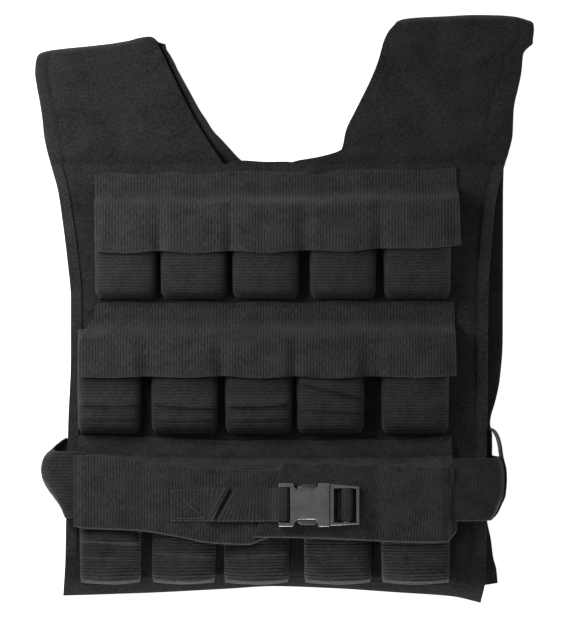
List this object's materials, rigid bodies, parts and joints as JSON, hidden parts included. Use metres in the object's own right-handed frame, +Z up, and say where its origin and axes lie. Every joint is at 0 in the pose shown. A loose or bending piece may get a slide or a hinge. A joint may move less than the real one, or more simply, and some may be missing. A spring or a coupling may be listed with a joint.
{
  "type": "weighted vest",
  "caption": "Black canvas weighted training vest lying flat, with rows of weight pockets under webbing flaps, wide shoulder straps and a buckled waist belt.",
  "frame": {"origin": "middle of the outline on the floor that the vest lies on", "axes": "+X across the vest, +Y from the hem to the shoulders, +Z up off the floor, out of the vest's front"},
  "size_m": [0.4756, 0.5608, 0.0525],
  "materials": {
    "canvas": "black cotton-polyester canvas, matt, quilted",
    "binding": "black turned and topstitched canvas edge",
    "webbing": "black ribbed polypropylene webbing",
    "strap": "black narrow woven strap",
    "buckle": "black moulded acetal with a soft sheen",
    "weight": "dark cast iron bar, rough"
  },
  "bodies": {
    "root": {"front_panel": "canvas", "back_panel": "canvas", "edge_binding_left": "binding", "edge_binding_right": "binding", "shoulder_strap_left": "canvas", "shoulder_strap_right": "canvas", "flap_top": "webbing", "flap_middle": "webbing", "flap_bottom": "webbing", "belt_back": "webbing", "belt_turn_left": "webbing", "belt_turn_right": "webbing", "belt_wing_left": "webbing", "belt_wing_right": "webbing", "belt_keeper": "webbing", "buckle_strap_left": "strap", "buckle_strap_right": "strap", "buckle_female": "buckle", "buckle_male": "buckle", "pocket_r1_c1": "webbing", "pocket_r1_c2": "webbing", "pocket_r1_c3": "webbing", "pocket_r1_c4": "webbing", "pocket_r1_c5": "webbing", "pocket_r2_c1": "webbing", "pocket_r2_c2": "webbing", "pocket_r2_c3": "webbing", "pocket_r2_c4": "webbing", "pocket_r2_c5": "webbing", "pocket_r3_c1": "webbing", "pocket_r3_c2": "webbing", "pocket_r3_c3": "webbing", "pocket_r3_c4": "webbing", "pocket_r3_c5": "webbing", "weight_r1_c1": "weight", "weight_r1_c2": "weight", "weight_r1_c3": "weight", "weight_r1_c4": "weight", "weight_r1_c5": "weight", "weight_r2_c1": "weight", "weight_r2_c2": "weight", "weight_r2_c3": "weight", "weight_r2_c4": "weight", "weight_r2_c5": "weight", "weight_r3_c1": "weight", "weight_r3_c2": "weight", "weight_r3_c3": "weight", "weight_r3_c4": "weight", "weight_r3_c5": "weight"}
  },
  "joints": []
}
